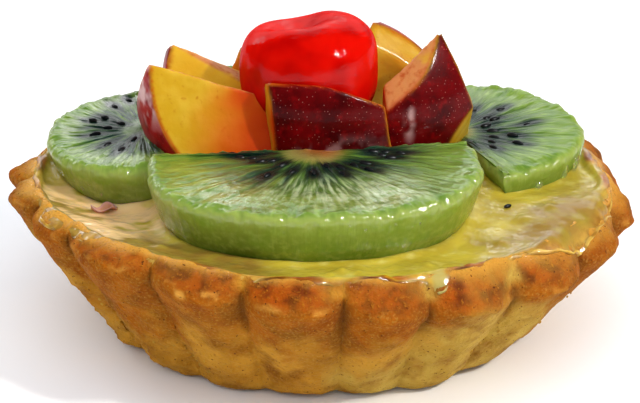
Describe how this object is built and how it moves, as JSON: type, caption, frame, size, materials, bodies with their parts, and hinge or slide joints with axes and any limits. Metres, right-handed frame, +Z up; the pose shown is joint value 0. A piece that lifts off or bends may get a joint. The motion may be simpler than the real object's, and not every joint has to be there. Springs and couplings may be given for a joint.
{
  "type": "fruit tart",
  "caption": "Single-portion fruit tart: a fluted pastry shell filled with custard and topped with kiwi slices, nectarine wedges and a candied cherry.",
  "frame": {"origin": "centre of the pastry's flat underside", "axes": "+Z up, out of the fruit; -Y towards the side with the largest kiwi slice; +X to the right seen from that side"},
  "size_m": [0.1011, 0.0989, 0.0488],
  "materials": {
    "pastry": "baked shortcrust pastry, browned along the rim, crumbly, satin",
    "custard": "set custard under a clear glaze",
    "kiwi": "peeled kiwi flesh with dark seeds, wet with glaze",
    "nectarine": "orange-yellow flesh and crimson skin with pale specks, wet with glaze",
    "candied_cherry": "candied cherry, bright red, translucent and sticky-glossy"
  },
  "bodies": {
    "root": {"crust": "pastry", "custard": "custard", "kiwi_front": "kiwi", "kiwi_right": "kiwi", "kiwi_back": "kiwi", "kiwi_left": "kiwi", "nectarine_left": "nectarine", "nectarine_front": "nectarine", "nectarine_right": "nectarine", "nectarine_back_right": "nectarine", "nectarine_back_left": "nectarine", "nectarine_back": "nectarine", "cherry": "candied_cherry"}
  },
  "joints": []
}
